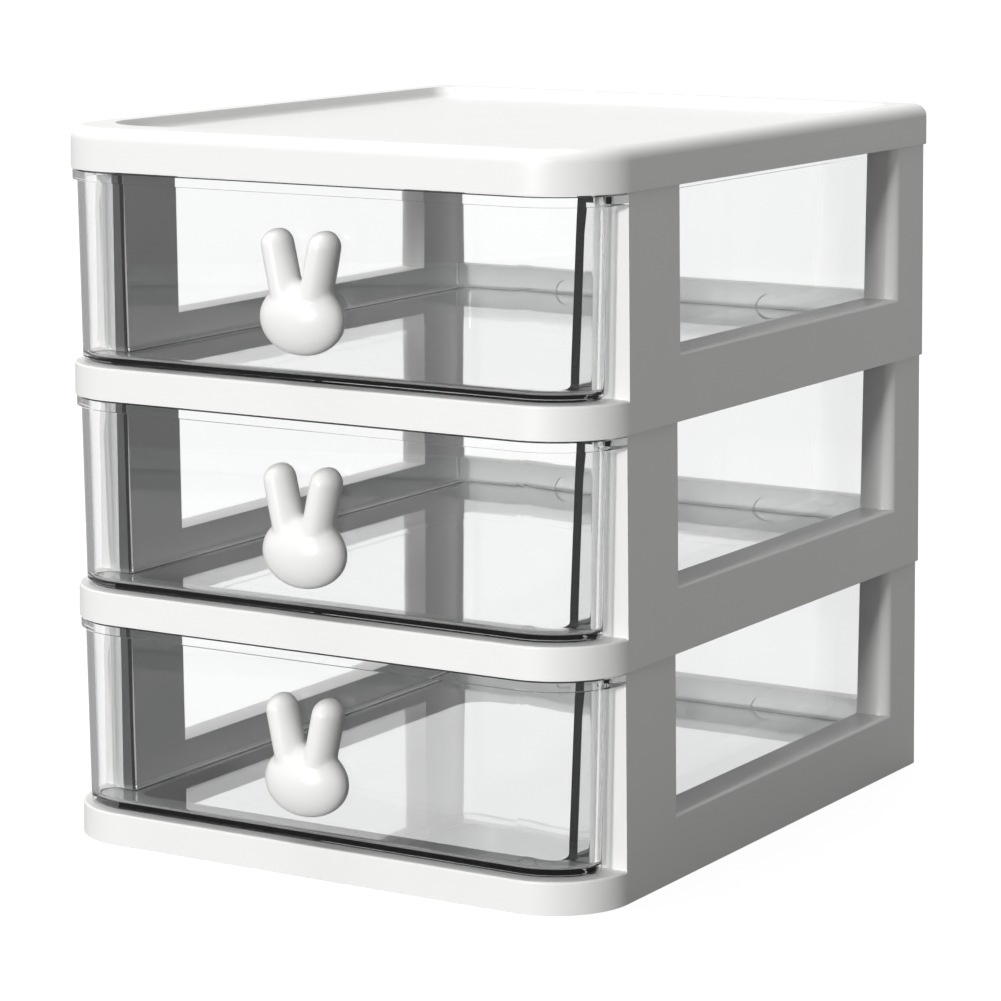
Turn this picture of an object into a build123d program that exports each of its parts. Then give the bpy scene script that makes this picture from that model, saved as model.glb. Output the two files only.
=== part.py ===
from build123d import *
import math
import os

# Desktop unit of three stacked drawers. X runs across the front, +Y to the back, +Z up. The
# origin lies on the surface that the unit stands on, in the middle of its width and of its whole
# depth, knobs included. Millimetres.

# Outline of the unit, seen from above
unit_width = 165.0
unit_depth = 196.0
front_corner_radius = 21.25
back_corner_radius = 6.0

# The stack
tier_names = ["lower", "middle", "upper"]
tier_height = 59.6
mould_draft = 0.77

# Frame: base ring, side walls with a low sill, posts and back rail
wall = 9.5
ring_width = 16.5
ring_height = 8.6
ring_front_radius = 5.0
ring_back_radius = 10.0
sill_height = 17.5
front_post_face = 21.0
front_post_depth = 26.8
rear_post_depth = 23.9
sill_edge_radius = 1.0
jamb_edge_radius = 3.5
band_edge_radius = 0.6
rail_height = 17.0
rail_thickness = 5.5
dimple_diameter = 8.5
dimple_depth = 1.2
dimple_spacing = 66.0
dimple_height = 10.0

# Pegs on the posts, and the pockets that they stand in
peg_thickness = 4.0
peg_length = 14.0
peg_height = 3.0
peg_side_clearance = 0.15
peg_end_clearance = 0.4

# Top cover
cover_height = 11.2
cover_edge_radius = 3.5
tray_rim = 8.5
tray_front_rim = 12.0
tray_depth = 3.2
tray_front_radius = 16.0
tray_back_radius = 8.0
tray_cove_radius = 2.0
tray_floor = 2.4

# Drawer: a box behind a wider curved front, with a rim round the top. Its front follows the
# frame's front band, and both the front and the box narrow towards the bottom.
drawer_lift = 0.4
drawer_head_gap = 0.5
drawer_wall = 1.8
drawer_floor = 1.6
front_draft = 0.8
box_draft = 1.75
rim_height = 2.4
rim_front_setback = 0.4
rim_front_overhang = 1.2
rim_side_overhang = 1.6
rim_side_gap = 0.9
rim_back_gap = 3.5
wing_post_gap = 0.6
wing_back_radius = 6.2
drawer_back_radius = 6.0
heel_radius = 1.2
cove_radius = 1.5

# Knob: a rabbit's head with its ears set apart, flat at the back
knob_level = 25.8
knob_depth = 8.8
knob_edge_radius = 3.6
knob_back_radius = 0.8
head_width = 24.4
head_height = 19.0
ear_width = 8.0
ear_reach = 12.6
ear_lean = 12.0
ear_spread = 11.4
ear_rise = 12.2
ear_root_radius = 1.0

# Screw that holds the knob
screw_diameter = 3.0
screw_wall_clearance = 0.2
screw_knob_clearance = 0.05
screw_reach = 6.0
screw_tip_gap = 0.5
screw_head_diameter = 6.0
screw_head_height = 2.2
screw_head_radius = 1.0
screw_slot_width = 0.9
screw_slot_length = 3.2
screw_slot_depth = 1.1

# How far the knobs stand out ahead of the front bands. They lean with the drawers' sloping
# fronts, so the tips of the ears are foremost.
drawer_top = tier_height - drawer_head_gap
drawer_tilt = math.radians(front_draft)
ear_tip = ear_rise + ear_reach / 2 * math.cos(math.radians(ear_lean))
front_setback = rim_front_setback + rim_front_overhang
knob_setback = front_setback + (drawer_top - knob_level) * math.tan(drawer_tilt)
knob_reach = knob_depth * math.cos(drawer_tilt) + ear_tip * math.sin(drawer_tilt) - knob_setback

# Places that several pieces share
half_width = unit_width / 2
front = -(unit_depth - knob_reach) / 2
back = front + unit_depth
wall_inner = half_width - wall
post_front = front + front_post_face
window_front = post_front + front_post_depth
window_back = back - rear_post_depth
rail_inner = back - rail_thickness
post_outer_top = half_width - tier_height * math.tan(math.radians(mould_draft))
peg_x = (wall_inner + post_outer_top) / 2
front_peg_y = (post_front + window_front) / 2
rear_peg_y = (window_back + back) / 2

# Places on the drawer, as heights above its tier's base
drawer_base = ring_height + drawer_lift

# The drawer's outline at its top edge
rim_half = wall_inner - rim_side_gap
body_half = rim_half - rim_side_overhang
wing_half = half_width - front_setback
wing_end = post_front - wing_post_gap
drawer_front = front + front_setback
drawer_front_radius = front_corner_radius - front_setback
rim_back = back - rim_back_gap
drawer_back = rim_back - rim_side_overhang


def corner_plan(sketch, half, near, far, near_radius, far_radius):
    """Rectangle from near to far along Y with its corners rounded."""
    with Locations((0, (near + far) / 2)):
        Rectangle(2 * half, far - near)
    fillet(sketch.vertices().group_by(Axis.Y)[0], near_radius)
    fillet(sketch.vertices().group_by(Axis.Y)[-1], far_radius)


def round_corners(sketch, level, radius):
    """Round the plan's corners that lie at this Y."""
    fillet(sketch.vertices().filter_by(lambda v: math.isclose(v.Y, level)), radius)


def peg_places():
    """Centres of the four pegs, seen from above."""
    return [(side * peg_x, y) for side in (-1, 1) for y in (front_peg_y, rear_peg_y)]


def make_pockets(base):
    """Spaces in the underside at this height, for the pegs of the frame below."""
    with BuildPart() as pockets:
        with BuildSketch(Plane.XY.offset(base)):
            with Locations(*peg_places()):
                Rectangle(peg_thickness + 2 * peg_side_clearance,
                          peg_length + 2 * peg_side_clearance)
        extrude(amount=peg_height + peg_end_clearance)
    return pockets


def make_walls(base):
    """Block of a frame's low walls and its posts, wider at the bottom, behind the posts' fronts."""
    with BuildPart() as walls:
        # Low walls, whose rounded outer edge shows along the sills
        with BuildSketch(Plane.XY.offset(base)) as low_plan:
            corner_plan(low_plan, half_width, front, back, front_corner_radius, back_corner_radius)
        extrude(amount=sill_height, taper=mould_draft)
        fillet(walls.edges().group_by(Axis.Z)[-1], sill_edge_radius)

        # Posts in front of the side windows and behind them
        with BuildSketch(Plane.XY.offset(base)) as post_plan:
            corner_plan(post_plan, half_width, front, back, front_corner_radius, back_corner_radius)
            with Locations((0, window_front)):
                Rectangle(2 * unit_width, window_back - window_front,
                          align=(Align.CENTER, Align.MIN), mode=Mode.SUBTRACT)
            round_corners(post_plan, window_front, sill_edge_radius)
            round_corners(post_plan, window_back, jamb_edge_radius)
        extrude(amount=tier_height, taper=mould_draft)
        split(bisect_by=Plane((0, post_front, 0), z_dir=(0, 1, 0)), keep=Keep.TOP)
    return walls


def make_frame(base):
    """One tier's frame, a single moulding."""
    walls = make_walls(base)
    pockets = make_pockets(base)
    with BuildPart() as frame:
        # Base ring, whose curved front band stands out ahead of the posts
        with BuildSketch(Plane.XY.offset(base)) as plan:
            corner_plan(plan, half_width, front, back, front_corner_radius, back_corner_radius)
        extrude(amount=ring_height, taper=mould_draft)
        fillet(frame.edges().group_by(Axis.Z)[-1], band_edge_radius)
        add(walls.part)

        # Drawer space between the side walls, as far as the back rail
        with BuildSketch(Plane.XY.offset(base + ring_height)):
            with Locations((0, rail_inner)):
                Rectangle(2 * wall_inner, unit_depth, align=(Align.CENTER, Align.MAX))
        extrude(amount=tier_height, mode=Mode.SUBTRACT)

        # Open back above the rail
        with BuildSketch(Plane.XY.offset(base + rail_height)):
            with Locations((0, back)):
                Rectangle(2 * wall_inner, unit_depth)
        extrude(amount=tier_height, mode=Mode.SUBTRACT)

        # Open bottom inside the ring, rounder at its back corners
        with BuildSketch(Plane.XY.offset(base)) as opening:
            corner_plan(opening, half_width - ring_width, front + ring_width, rail_inner,
                        ring_front_radius, ring_back_radius)
        extrude(amount=ring_height, mode=Mode.SUBTRACT)

        # Two shallow round dimples in the inner face of the back rail
        with BuildSketch(Plane((0, rail_inner, base), x_dir=(1, 0, 0), z_dir=(0, -1, 0))):
            with Locations((-dimple_spacing / 2, dimple_height), (dimple_spacing / 2, dimple_height)):
                Circle(dimple_diameter / 2)
        extrude(amount=-dimple_depth, mode=Mode.SUBTRACT)

        # Pegs on top of the posts, and pockets under them
        with BuildSketch(Plane.XY.offset(base + tier_height)):
            with Locations(*peg_places()):
                Rectangle(peg_thickness, peg_length)
        extrude(amount=peg_height)
        add(pockets.part, mode=Mode.SUBTRACT)
    return frame


def make_cover(base):
    """Cover with a shallow tray in its top, hollow underneath."""
    pockets = make_pockets(base)
    with BuildPart() as cover:
        with BuildSketch(Plane.XY.offset(base)) as plan:
            corner_plan(plan, half_width, front, back, front_corner_radius, back_corner_radius)
        extrude(amount=cover_height, taper=mould_draft)
        fillet(cover.edges().group_by(Axis.Z)[-1], cover_edge_radius)

        # Tray, with a hollow curve where its walls meet its floor
        tray_level = base + cover_height - tray_depth
        with BuildSketch(Plane.XY.offset(tray_level)) as tray:
            corner_plan(tray, half_width - tray_rim, front + tray_front_rim, back - tray_rim,
                        tray_front_radius, tray_back_radius)
        extrude(amount=tray_depth, mode=Mode.SUBTRACT)
        tray_edges = cover.edges().filter_by(lambda e: math.isclose(e.center().Z, tray_level))
        fillet(tray_edges, tray_cove_radius)

        # Hollow underside
        with BuildSketch(Plane.XY.offset(base)) as hollow:
            corner_plan(hollow, wall_inner, front + wall, back - wall,
                        front_corner_radius - wall, tray_back_radius)
        extrude(amount=cover_height - tray_depth - tray_floor, mode=Mode.SUBTRACT)
        add(pockets.part, mode=Mode.SUBTRACT)
    return cover


def front_block(base, inset, floor, heel):
    """Block behind the curved front, as far back as the wings' ends, which have rounded corners."""
    end = wing_end - inset
    with BuildPart() as block:
        with BuildSketch(Plane.XY.offset(base + drawer_top)) as plan:
            corner_plan(plan, wing_half - inset, drawer_front + inset, back,
                        drawer_front_radius - inset, back_corner_radius)
            with Locations((0, end)):
                Rectangle(2 * unit_width, unit_depth, align=(Align.CENTER, Align.MIN),
                          mode=Mode.SUBTRACT)
            round_corners(plan, end, wing_back_radius - inset)
        extrude(amount=-(drawer_top - drawer_base - floor), taper=front_draft)
        fillet(block.edges().group_by(Axis.Z)[0], heel)
    return block


def body_block(base, inset, floor, heel, near):
    """Block of the drawer's box, from its top down to floor and from near to the drawer's back."""
    with BuildPart() as block:
        with BuildSketch(Plane.XY.offset(base + drawer_top)) as plan:
            corner_plan(plan, body_half - inset, front - wall, drawer_back - inset,
                        drawer_back_radius - inset, drawer_back_radius - inset)
        extrude(amount=-(drawer_top - drawer_base - floor), taper=box_draft)
        fillet(block.edges().group_by(Axis.Z)[0], heel)
        split(bisect_by=Plane((0, near, 0), z_dir=(0, 1, 0)), keep=Keep.TOP)
    return block


def knob_plane(base, depth):
    """Plane parallel to the sloping front wall, this far behind its outer face."""
    outward = Vector(0, -math.cos(drawer_tilt), -math.sin(drawer_tilt))
    origin = Vector(0, front + knob_setback, base + knob_level) - outward * depth
    return Plane(origin, x_dir=(1, 0, 0), z_dir=outward)


def make_drawer(base):
    """One-piece clear drawer."""
    box_start = (wing_end + drawer_front) / 2
    outer_front = front_block(base, 0, 0, heel_radius)
    outer_body = body_block(base, 0, 0, heel_radius, box_start)
    inner_front = front_block(base, drawer_wall, drawer_floor, cove_radius)
    inner_body = body_block(base, drawer_wall, drawer_floor, cove_radius, box_start)
    with BuildPart() as drawer:
        add(outer_front.part)
        add(outer_body.part)

        # Rim, wider along the box than round the front
        with BuildSketch(Plane.XY.offset(base + drawer_top)) as front_rim:
            corner_plan(front_rim, wing_half + rim_front_overhang,
                        drawer_front - rim_front_overhang, back,
                        drawer_front_radius + rim_front_overhang, back_corner_radius)
            split(bisect_by=Plane((0, wing_end, 0), z_dir=(0, -1, 0)), keep=Keep.TOP)
        extrude(amount=-rim_height)
        with BuildSketch(Plane.XY.offset(base + drawer_top)) as body_rim:
            corner_plan(body_rim, rim_half, box_start, rim_back,
                        drawer_back_radius, drawer_back_radius + rim_side_overhang)
        extrude(amount=-rim_height)

        add(inner_front.part, mode=Mode.SUBTRACT)
        add(inner_body.part, mode=Mode.SUBTRACT)

        # Hole for the knob's screw
        with BuildSketch(knob_plane(base, 0)):
            Circle(screw_diameter / 2 + screw_wall_clearance)
        extrude(amount=2 * drawer_wall, both=True, mode=Mode.SUBTRACT)
    return drawer


def make_knob(base):
    """Knob that bears flat on the drawer's front wall."""
    with BuildPart() as knob:
        with BuildSketch(knob_plane(base, 0)) as outline:
            Ellipse(head_width / 2, head_height / 2)
            for side in (-1, 1):
                with Locations((side * ear_spread / 2, ear_rise)):
                    SlotCenterToCenter(ear_reach, ear_width, rotation=90 - side * ear_lean)
            fillet(outline.vertices(), ear_root_radius)
        extrude(amount=knob_depth)
        fillet(knob.faces().sort_by(Axis.Y)[0].edges(), knob_edge_radius)
        fillet(knob.faces().sort_by(Axis.Y)[-1].edges(), knob_back_radius)
        with BuildSketch(knob_plane(base, 0)):
            Circle(screw_diameter / 2 + screw_knob_clearance)
        extrude(amount=screw_reach + screw_tip_gap, mode=Mode.SUBTRACT)
    return knob


def make_screw(base):
    """Pan-head screw, put in from inside the drawer."""
    wall_depth = drawer_wall * math.cos(drawer_tilt)
    with BuildPart() as screw:
        with BuildSketch(knob_plane(base, wall_depth)):
            Circle(screw_diameter / 2)
        extrude(amount=screw_reach + wall_depth)
        with BuildSketch(knob_plane(base, wall_depth)):
            Circle(screw_head_diameter / 2)
        extrude(amount=-screw_head_height)
        fillet(screw.edges().sort_by(Axis.Y)[-1], screw_head_radius)

        # Cross recess
        with BuildSketch(knob_plane(base, wall_depth + screw_head_height)):
            Rectangle(screw_slot_length, screw_slot_width)
            Rectangle(screw_slot_width, screw_slot_length)
        extrude(amount=screw_slot_depth, mode=Mode.SUBTRACT)
    return screw


os.makedirs("parts", exist_ok=True)

for tier, tier_name in enumerate(tier_names):
    tier_base = tier * tier_height
    pieces = {
        "frame_" + tier_name: make_frame(tier_base),
        "drawer_" + tier_name: make_drawer(tier_base),
        "knob_" + tier_name: make_knob(tier_base),
        "screw_" + tier_name: make_screw(tier_base),
    }
    for name, piece in pieces.items():
        piece.part.label = name
        export_step(piece.part, "parts/" + name + ".step")

top_cover = make_cover(len(tier_names) * tier_height)
top_cover.part.label = "top_cover"
export_step(top_cover.part, "parts/top_cover.step")
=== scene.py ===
import math
import bpy
from mathutils import Matrix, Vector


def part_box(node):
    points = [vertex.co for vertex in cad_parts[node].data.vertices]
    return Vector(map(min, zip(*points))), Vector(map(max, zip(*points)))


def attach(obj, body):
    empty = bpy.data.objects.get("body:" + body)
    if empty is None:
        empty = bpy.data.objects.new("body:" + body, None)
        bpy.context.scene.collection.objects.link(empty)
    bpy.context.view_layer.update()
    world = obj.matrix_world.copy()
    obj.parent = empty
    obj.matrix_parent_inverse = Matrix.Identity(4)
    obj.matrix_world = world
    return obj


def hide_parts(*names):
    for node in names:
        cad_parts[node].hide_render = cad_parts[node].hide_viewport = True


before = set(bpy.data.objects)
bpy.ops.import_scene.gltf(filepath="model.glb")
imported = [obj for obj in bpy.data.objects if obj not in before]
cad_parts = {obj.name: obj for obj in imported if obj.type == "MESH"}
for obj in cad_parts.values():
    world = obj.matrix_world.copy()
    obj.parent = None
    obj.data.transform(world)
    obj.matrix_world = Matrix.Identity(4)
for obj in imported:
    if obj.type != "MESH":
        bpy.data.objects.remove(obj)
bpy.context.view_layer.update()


# The view: a long lens a metre away, off the unit's right front corner and a little above it.
# The unit stands at the origin, and the lens looks straight at its middle.
lens_data = bpy.data.cameras.new("long_lens")
lens_data.sensor_width = 36.0
lens_data.lens = 133.8
lens = bpy.data.objects.new("long_lens", lens_data)
lens.location = (0.5200, -0.8615, 0.2631)
lens.rotation_euler = (math.radians(79.92), 0.0, math.radians(31.06))
bpy.context.scene.collection.objects.link(lens)
bpy.context.scene.camera = lens


# Frames: three equal mouldings in satin white polypropylene, each with a base ring, low side
# walls, four posts and a back rail. They stack by pegs on the posts, and the drawers run in them.
tiers = ["lower", "middle", "upper"]
white_resin = (0.890, 0.890, 0.876, 1.0)
white_resin_ior = 1.49
moulded_edge_radius = 0.00035
edge_segments = 2
sharp_edge_angle = math.radians(40)
merge_distance = 0.000001
flat_face_angle = math.radians(0.5)
smooth_angle = math.radians(32)


def merged_copy(node, name):
    """A piece with the node's shape, its triangles joined and its flat faces in large quads."""
    piece = bpy.data.objects.new(name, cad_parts[node].data.copy())
    bpy.context.scene.collection.objects.link(piece)
    bpy.ops.object.select_all(action="DESELECT")
    piece.select_set(True)
    bpy.context.view_layer.objects.active = piece
    bpy.ops.object.mode_set(mode="EDIT")
    bpy.ops.mesh.select_all(action="SELECT")
    bpy.ops.mesh.remove_doubles(threshold=merge_distance)
    bpy.ops.mesh.dissolve_limited(angle_limit=flat_face_angle)
    bpy.ops.mesh.quads_convert_to_tris(quad_method="BEAUTY", ngon_method="BEAUTY")
    bpy.ops.mesh.tris_convert_to_quads(face_threshold=2 * flat_face_angle, shape_threshold=math.pi)
    bpy.ops.object.mode_set(mode="OBJECT")
    return piece


def round_edges(piece, radius):
    """Give the sharp edges the small radius that a mould leaves."""
    bevel = piece.modifiers.new("mould_radius", "BEVEL")
    bevel.width = radius
    bevel.segments = edge_segments
    bevel.limit_method = "ANGLE"
    bevel.angle_limit = sharp_edge_angle
    bevel.use_clamp_overlap = True
    bpy.ops.object.modifier_apply(modifier="mould_radius")
    bpy.ops.object.shade_smooth_by_angle(angle=smooth_angle)
    level = piece.modifiers.new("flat_faces_rule", "WEIGHTED_NORMAL")
    level.keep_sharp = True
    bpy.ops.object.modifier_apply(modifier="flat_faces_rule")


def wear_finish(piece, material):
    """Put on one material."""
    piece.data.materials.clear()
    piece.data.materials.append(material)


# The skin that a spark-eroded mould leaves: a fine grain, a slow waviness where the resin shrank,
# and cloudy differences of gloss and tone.
skin = bpy.data.node_groups.new("moulded_skin", "ShaderNodeTree")
for socket, kind, value in (("Vector", "NodeSocketVector", None),
                            ("Grain Scale", "NodeSocketFloat", 1500.0),
                            ("Grain Share", "NodeSocketFloat", 0.2),
                            ("Roughness", "NodeSocketFloat", 0.4),
                            ("Gloss Change", "NodeSocketFloat", 0.08),
                            ("Tone Change", "NodeSocketFloat", 0.03),
                            ("Color", "NodeSocketColor", None)):
    made = skin.interface.new_socket(socket, in_out="INPUT", socket_type=kind)
    if value is not None:
        made.default_value = value
for socket, kind in (("Color", "NodeSocketColor"), ("Roughness", "NodeSocketFloat"),
                     ("Height", "NodeSocketFloat")):
    skin.interface.new_socket(socket, in_out="OUTPUT", socket_type=kind)


def add_node(tree, kind, values=None, **settings):
    """A node of this kind, with its settings and the values of its named or numbered inputs."""
    node = tree.nodes.new(kind)
    for key, value in settings.items():
        setattr(node, key, value)
    for key, value in (values or {}).items():
        node.inputs[key].default_value = value
    return node


def join(tree, *pairs):
    """Link each output to each input."""
    for output, target in pairs:
        tree.links.new(output, target)


put_in = add_node(skin, "NodeGroupInput")
put_out = add_node(skin, "NodeGroupOutput")
grain = add_node(skin, "ShaderNodeTexNoise", {"Detail": 2.0, "Roughness": 0.6})
shrink = add_node(skin, "ShaderNodeTexNoise", {"Scale": 55.0, "Detail": 1.0})
cloud = add_node(skin, "ShaderNodeTexNoise", {"Scale": 24.0, "Detail": 4.0, "Roughness": 0.55})
grain_part = add_node(skin, "ShaderNodeMath", operation="MULTIPLY")
height_sum = add_node(skin, "ShaderNodeMath", operation="ADD")
gloss_swing = add_node(skin, "ShaderNodeMath", {1: 0.5}, operation="SUBTRACT")
gloss_part = add_node(skin, "ShaderNodeMath", operation="MULTIPLY_ADD")
tone_part = add_node(skin, "ShaderNodeMath", operation="MULTIPLY")
tone_left = add_node(skin, "ShaderNodeMath", {0: 1.0}, operation="SUBTRACT")
toned = add_node(skin, "ShaderNodeMix", {0: 1.0}, data_type="RGBA", blend_type="MULTIPLY")
join(skin, (put_in.outputs["Vector"], grain.inputs["Vector"]),
     (put_in.outputs["Vector"], shrink.inputs["Vector"]),
     (put_in.outputs["Vector"], cloud.inputs["Vector"]),
     (put_in.outputs["Grain Scale"], grain.inputs["Scale"]),
     (grain.outputs["Fac"], grain_part.inputs[0]),
     (put_in.outputs["Grain Share"], grain_part.inputs[1]),
     (grain_part.outputs[0], height_sum.inputs[0]),
     (shrink.outputs["Fac"], height_sum.inputs[1]),
     (cloud.outputs["Fac"], gloss_swing.inputs[0]),
     (gloss_swing.outputs[0], gloss_part.inputs[0]),
     (put_in.outputs["Gloss Change"], gloss_part.inputs[1]),
     (put_in.outputs["Roughness"], gloss_part.inputs[2]),
     (cloud.outputs["Fac"], tone_part.inputs[0]),
     (put_in.outputs["Tone Change"], tone_part.inputs[1]),
     (tone_part.outputs[0], tone_left.inputs[1]),
     (put_in.outputs["Color"], toned.inputs[6]),
     (tone_left.outputs[0], toned.inputs[7]),
     (toned.outputs[2], put_out.inputs["Color"]),
     (gloss_part.outputs[0], put_out.inputs["Roughness"]),
     (height_sum.outputs[0], put_out.inputs["Height"]))


def skin_material(name, relief_depth, values):
    """A material with the moulded skin, laid on by the piece's own Object coordinates."""
    material = bpy.data.materials.new(name)
    material.use_nodes = True
    tree = material.node_tree
    shader = tree.nodes["Principled BSDF"]
    place = add_node(tree, "ShaderNodeTexCoord")
    surface = add_node(tree, "ShaderNodeGroup", values, node_tree=skin)
    relief = add_node(tree, "ShaderNodeBump", {"Strength": 1.0, "Distance": relief_depth})
    join(tree, (place.outputs["Object"], surface.inputs["Vector"]),
         (surface.outputs["Color"], shader.inputs["Base Color"]),
         (surface.outputs["Roughness"], shader.inputs["Roughness"]),
         (surface.outputs["Height"], relief.inputs["Height"]),
         (relief.outputs["Normal"], shader.inputs["Normal"]))
    return material, shader


satin_white, satin_shader = skin_material("satin_white_resin", 0.00006, {
    "Grain Scale": 1500.0, "Grain Share": 0.10, "Roughness": 0.40, "Gloss Change": 0.12,
    "Tone Change": 0.035, "Color": white_resin})
satin_shader.inputs["IOR"].default_value = white_resin_ior
for tier in tiers:
    moulding = merged_copy("frame_" + tier, "stacking_frame_" + tier)
    round_edges(moulding, moulded_edge_radius)
    wear_finish(moulding, satin_white)
    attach(moulding, "case")
    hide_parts("frame_" + tier)


# Top cover: one white moulding of the same resin that sits on the upper frame's pegs, with a
# shallow tray for small things. Its underside is hollow, and it has no screws.
cover = merged_copy("top_cover", "tray_cover")
round_edges(cover, moulded_edge_radius)
wear_finish(cover, satin_white)
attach(cover, "case")
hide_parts("top_cover")


# Drawers: each one a clear polystyrene moulding with a flange round its top and a wider, curved
# front, loose in its frame and sliding on the ring. Light passes its faces almost whole, and less
# of it comes through where it meets them at a slant.
clear_resin = (0.992, 0.996, 0.995, 1.0)
clear_resin_ior = 1.5
clear_edge_radius = 0.0004
face_shade = (0.955, 0.96, 0.96, 1.0)
edge_shade = (0.35, 0.36, 0.36, 1.0)

clear_plastic, clear_shader = skin_material("clear_polystyrene", 0.000014, {
    "Grain Scale": 400.0, "Grain Share": 0.0, "Roughness": 0.018, "Gloss Change": 0.03,
    "Tone Change": 0.008, "Color": clear_resin})
clear_shader.inputs["IOR"].default_value = clear_resin_ior
clear_shader.inputs["Transmission Weight"].default_value = 1.0
tree = clear_plastic.node_tree
ray = add_node(tree, "ShaderNodeLightPath")
slant = add_node(tree, "ShaderNodeLayerWeight", {"Blend": 0.30})
shade = add_node(tree, "ShaderNodeMix", {6: face_shade, 7: edge_shade}, data_type="RGBA")
veil = add_node(tree, "ShaderNodeBsdfTransparent")
lighting = add_node(tree, "ShaderNodeMath", operation="MAXIMUM")
mixed = add_node(tree, "ShaderNodeMixShader")
join(tree, (slant.outputs["Facing"], shade.inputs[0]),
     (shade.outputs[2], veil.inputs["Color"]),
     (ray.outputs["Is Shadow Ray"], lighting.inputs[0]),
     (ray.outputs["Is Diffuse Ray"], lighting.inputs[1]),
     (lighting.outputs[0], mixed.inputs["Fac"]),
     (clear_shader.outputs["BSDF"], mixed.inputs[1]),
     (veil.outputs["BSDF"], mixed.inputs[2]),
     (mixed.outputs["Shader"], tree.nodes["Material Output"].inputs["Surface"]))
for tier in tiers:
    box = merged_copy("drawer_" + tier, "clear_drawer_" + tier)
    round_edges(box, clear_edge_radius)
    wear_finish(box, clear_plastic)
    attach(box, "drawer_" + tier)
    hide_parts("drawer_" + tier)


# Knobs: each one a full, rounded rabbit's head in glossy white resin, with no face, flat at the
# back where it bears on the drawer. A screw from inside the drawer holds it.
gloss_resin = (0.900, 0.900, 0.886, 1.0)
knob_low, knob_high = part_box("knob_lower")
knob_bearing = knob_high[1]
head_half_width = (knob_high[0] - knob_low[0]) / 2
head_half_height = 0.0095
head_level = knob_low[2] + head_half_height
fullness = 0.0071
middle_depth = 0.0018
middle_y = knob_bearing - middle_depth
ear_half_width = 0.0040
ear_half_depth = 0.8 * fullness
ear_half_reach = 0.0063
ear_lean = math.radians(12)
ear_offset = 0.0057
ear_level = head_level + 0.0122
ball_columns = 48
ball_rows = 24
middle_row_band = 0.0001
knob_voxel = 0.00045
crease_smoothing = 12
bearing_inset = 0.0002
front_wall_slope = 0.014


def add_ball(name, place, size):
    """A ball at this place, stretched to this half size."""
    bpy.ops.object.select_all(action="DESELECT")
    bpy.ops.mesh.primitive_uv_sphere_add(segments=ball_columns, ring_count=ball_rows, radius=1.0,
                                         location=place)
    ball = bpy.context.object
    ball.name = name
    ball.scale = size
    bpy.ops.object.transform_apply(location=False, rotation=False, scale=True)
    return ball


# Each ear is a ball whose upper and lower halves are drawn apart, leaning outwards
head = add_ball("rabbit_knob_lower", (0, middle_y, head_level),
                (head_half_width, fullness, head_half_height))
ears = []
for side in (-1, 1):
    ear = add_ball("ear", (side * ear_offset, middle_y, ear_level),
                   (ear_half_width, ear_half_depth, ear_half_width))
    bpy.ops.object.mode_set(mode="EDIT")
    for half in (-1, 1):
        bpy.ops.mesh.select_all(action="DESELECT")
        bpy.ops.object.mode_set(mode="OBJECT")
        for vertex in ear.data.vertices:
            vertex.select = half * vertex.co.z > middle_row_band
        bpy.ops.object.mode_set(mode="EDIT")
        bpy.ops.transform.translate(value=(0, 0, half * ear_half_reach))
    bpy.ops.object.mode_set(mode="OBJECT")
    ear.rotation_euler = (0, side * ear_lean, 0)
    ears.append(ear)
bpy.ops.object.select_all(action="DESELECT")
for part in ears + [head]:
    part.select_set(True)
bpy.context.view_layer.objects.active = head
bpy.ops.object.join()
bpy.ops.object.transform_apply(location=True, rotation=True, scale=True)

# Head and ears become one skin with soft creases, cut flat along the drawer's sloping front
whole = head.modifiers.new("one_skin", "REMESH")
whole.mode = "VOXEL"
whole.voxel_size = knob_voxel
bpy.ops.object.modifier_apply(modifier="one_skin")
soft = head.modifiers.new("soft_creases", "SMOOTH")
soft.factor = 0.5
soft.iterations = crease_smoothing
bpy.ops.object.modifier_apply(modifier="soft_creases")
bpy.ops.object.mode_set(mode="EDIT")
bpy.ops.mesh.select_all(action="SELECT")
bpy.ops.mesh.bisect(plane_co=(0, knob_bearing - bearing_inset, head_level),
                    plane_no=(0, 1, front_wall_slope), use_fill=True, clear_outer=True)
bpy.ops.mesh.select_all(action="SELECT")
bpy.ops.mesh.normals_make_consistent(inside=False)
bpy.ops.object.mode_set(mode="OBJECT")
bpy.ops.object.shade_smooth_by_angle(angle=smooth_angle)

gloss_white, gloss_shader = skin_material("glossy_white_resin", 0.00005, {
    "Grain Scale": 900.0, "Grain Share": 0.03, "Roughness": 0.30, "Gloss Change": 0.08,
    "Tone Change": 0.02, "Color": gloss_resin})
gloss_shader.inputs["IOR"].default_value = white_resin_ior
for tier in tiers:
    knob = head
    if tier != tiers[0]:
        knob = bpy.data.objects.new("rabbit_knob_" + tier, head.data.copy())
        bpy.context.scene.collection.objects.link(knob)
        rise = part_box("knob_" + tier)[0][2] - knob_low[2]
        knob.data.transform(Matrix.Translation((0, 0, rise)))
    wear_finish(knob, gloss_white)
    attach(knob, "drawer_" + tier)
    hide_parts("knob_" + tier)


# Screws: pan-head screws in zinc-plated steel with a cross recess, driven from inside the drawer
# through its front wall into the knob.
zinc_plate = (0.62, 0.62, 0.63, 1.0)
screw_edge_radius = 0.00008
zinc, zinc_shader = skin_material("zinc_plated_steel", 0.00002, {
    "Grain Scale": 3000.0, "Grain Share": 0.3, "Roughness": 0.30, "Gloss Change": 0.2,
    "Tone Change": 0.2, "Color": zinc_plate})
zinc_shader.inputs["Metallic"].default_value = 1.0
for tier in tiers:
    screw = merged_copy("screw_" + tier, "pan_head_screw_" + tier)
    round_edges(screw, screw_edge_radius)
    wear_finish(screw, zinc)
    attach(screw, "drawer_" + tier)
    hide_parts("screw_" + tier)


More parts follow.
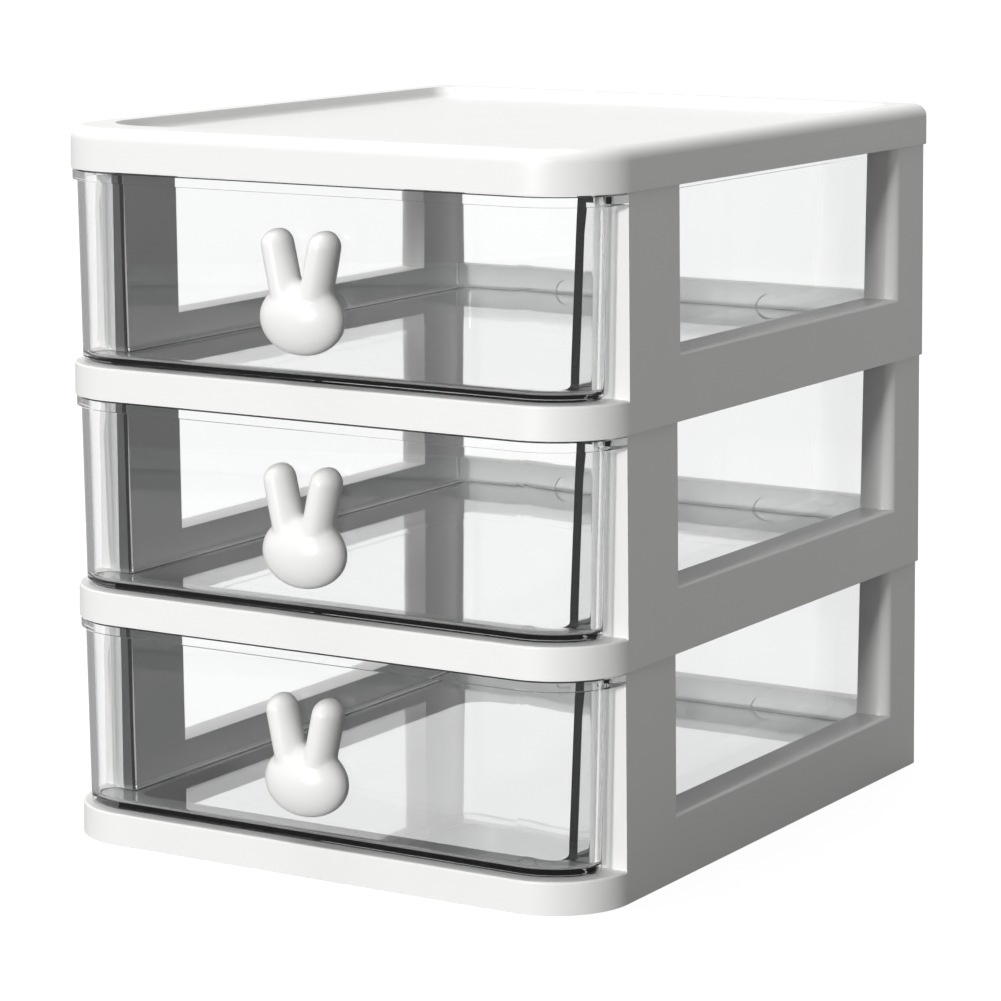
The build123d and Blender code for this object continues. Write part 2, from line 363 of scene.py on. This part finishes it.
# Floor and light: a white sheet under the unit, a low lamp from the front, a broad one overhead,
# and an even dim light from all round. Seen directly or through clear plastic, the sheet and the
# surround are white, and what mirrors the sheet shows it darker.
floor_size = 12
floor_roughness = 0.95
floor_white = 0.88
floor_mirrored = 0.16
floor_seen_tone = (0.24, 0.24, 0.24, 1.0)
floor_bounce_tone = (0.25, 0.25, 0.25, 1.0)
even_light = 0.265
pure_white = (1.0, 1.0, 1.0, 1.0)


def seen_mask(tree):
    """1 for what the lens, gloss and clear plastic show, 0 for light that has scattered."""
    ray = add_node(tree, "ShaderNodeLightPath")
    gloss = add_node(tree, "ShaderNodeMath", operation="MAXIMUM")
    through = add_node(tree, "ShaderNodeMath", operation="MAXIMUM")
    early = add_node(tree, "ShaderNodeMath", {1: 0.5}, operation="LESS_THAN")
    mask = add_node(tree, "ShaderNodeMath", operation="MULTIPLY")
    join(tree, (ray.outputs["Is Camera Ray"], gloss.inputs[0]),
         (ray.outputs["Is Glossy Ray"], gloss.inputs[1]),
         (gloss.outputs[0], through.inputs[0]),
         (ray.outputs["Is Transmission Ray"], through.inputs[1]),
         (ray.outputs["Diffuse Depth"], early.inputs[0]),
         (through.outputs[0], mask.inputs[0]),
         (early.outputs[0], mask.inputs[1]))
    return mask.outputs[0]


bpy.ops.object.select_all(action="DESELECT")
bpy.ops.mesh.primitive_plane_add(size=floor_size, location=(0, 0, 0))
floor = bpy.context.object
floor.name = "white_sheet"
paper = bpy.data.materials.new("white_paper")
paper.use_nodes = True
tree = paper.node_tree
shader = tree.nodes["Principled BSDF"]
shader.inputs["Roughness"].default_value = floor_roughness
shader.inputs["Specular IOR Level"].default_value = 0.0
shader.inputs["Emission Color"].default_value = pure_white
mask = seen_mask(tree)
tone = add_node(tree, "ShaderNodeMix", {6: floor_bounce_tone, 7: floor_seen_tone},
                data_type="RGBA")
ray = add_node(tree, "ShaderNodeLightPath")
mirrored = add_node(tree, "ShaderNodeMath", {1: 0.5}, operation="GREATER_THAN")
glow_choice = add_node(tree, "ShaderNodeMix", {2: floor_white, 3: floor_mirrored},
                       data_type="FLOAT")
glow = add_node(tree, "ShaderNodeMath", operation="MULTIPLY")
join(tree, (mask, tone.inputs[0]), (tone.outputs[2], shader.inputs["Base Color"]),
     (ray.outputs["Glossy Depth"], mirrored.inputs[0]),
     (mirrored.outputs[0], glow_choice.inputs[0]),
     (glow_choice.outputs[0], glow.inputs[0]),
     (mask, glow.inputs[1]), (glow.outputs[0], shader.inputs["Emission Strength"]))
floor.data.materials.append(paper)

surround = bpy.data.worlds.new("white_surround")
bpy.context.scene.world = surround
surround.use_nodes = True
tree = surround.node_tree
dim = tree.nodes["Background"]
dim.inputs["Color"].default_value = pure_white
dim.inputs["Strength"].default_value = even_light
bright = add_node(tree, "ShaderNodeBackground", {"Color": pure_white, "Strength": 1.0})
blend = add_node(tree, "ShaderNodeMixShader")
join(tree, (seen_mask(tree), blend.inputs["Fac"]), (dim.outputs[0], blend.inputs[1]),
     (bright.outputs[0], blend.inputs[2]),
     (blend.outputs[0], tree.nodes["World Output"].inputs["Surface"]))


def add_lamp(name, azimuth, height, energy, spread):
    """A distant lamp, its angles in degrees: right of the front, above the floor, and across."""
    data = bpy.data.lights.new(name, "SUN")
    data.energy = energy
    data.angle = math.radians(spread)
    lamp = bpy.data.objects.new(name, data)
    right, up = math.radians(azimuth), math.radians(height)
    lamp.location = (math.sin(right) * math.cos(up), -math.cos(right) * math.cos(up),
                     math.sin(up))
    lamp.rotation_euler = (-lamp.location).to_track_quat("-Z", "Y").to_euler()
    bpy.context.scene.collection.objects.link(lamp)


add_lamp("front_lamp", azimuth=0.8, height=11.0, energy=2.45, spread=6.0)
add_lamp("top_lamp", azimuth=250.0, height=74.0, energy=1.75, spread=40.0)

bpy.context.scene.view_settings.view_transform = "Standard"
